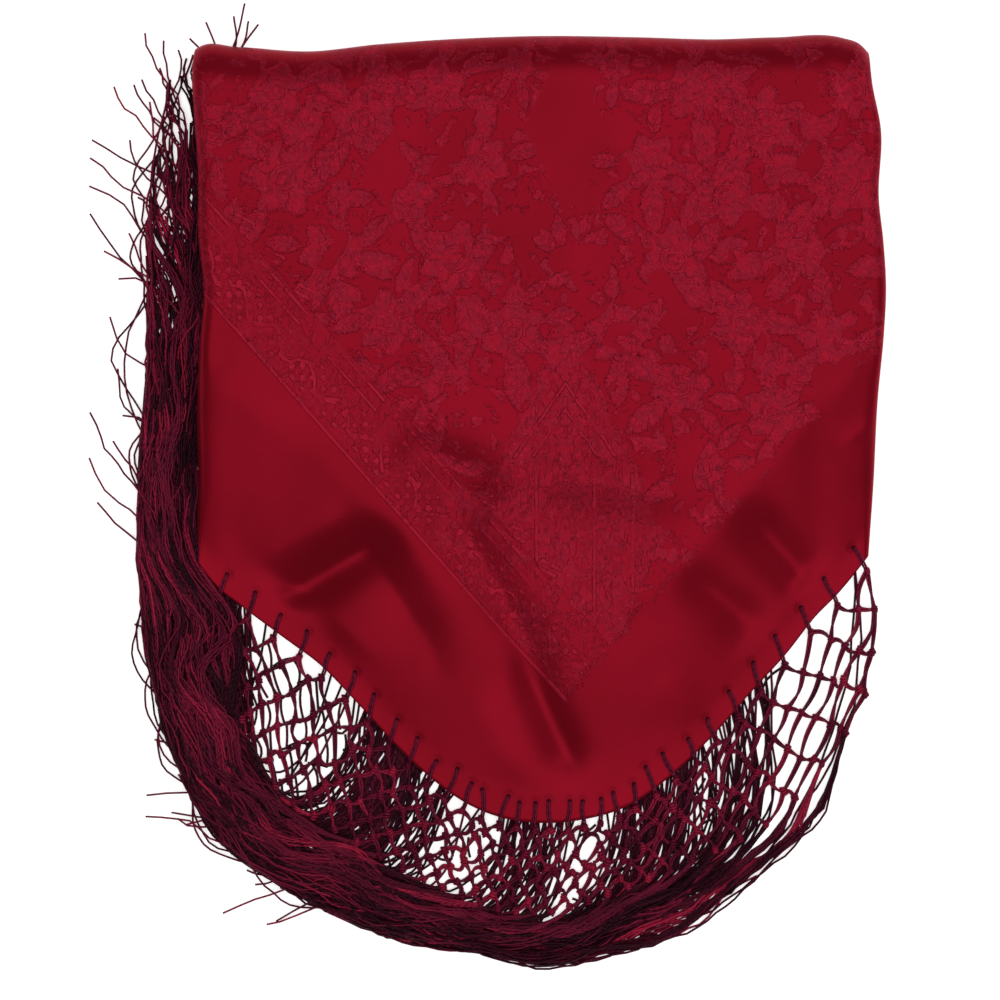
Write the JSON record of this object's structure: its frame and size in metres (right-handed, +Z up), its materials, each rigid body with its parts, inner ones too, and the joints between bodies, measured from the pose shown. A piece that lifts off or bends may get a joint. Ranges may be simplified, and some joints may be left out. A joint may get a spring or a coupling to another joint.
{
  "type": "folded triangle scarf",
  "caption": "Triangle scarf of figured satin folded into a flat packet, its rounded corner on top, with a knotted net and long swept fringe.",
  "frame": {"origin": "on the surface that the folded scarf lies on, under the middle of its bounding box", "axes": "+Z up from the surface; +Y up the packet, from the triangle's rounded corner to the top fold; +X to the right as seen from above"},
  "size_m": [0.194, 0.2334, 0.0135],
  "materials": {
    "crimson_satin": "satin jacquard of one deep crimson, its figure a little paler and duller than the ground",
    "wine_yarn": "twisted glossy yarn of dark wine red"
  },
  "bodies": {
    "root": {"front_panel": "crimson_satin", "folded_layers": "crimson_satin", "knotted_net": "wine_yarn", "fringe_right": "wine_yarn", "fringe_middle": "wine_yarn", "fringe_left": "wine_yarn"}
  },
  "joints": []
}
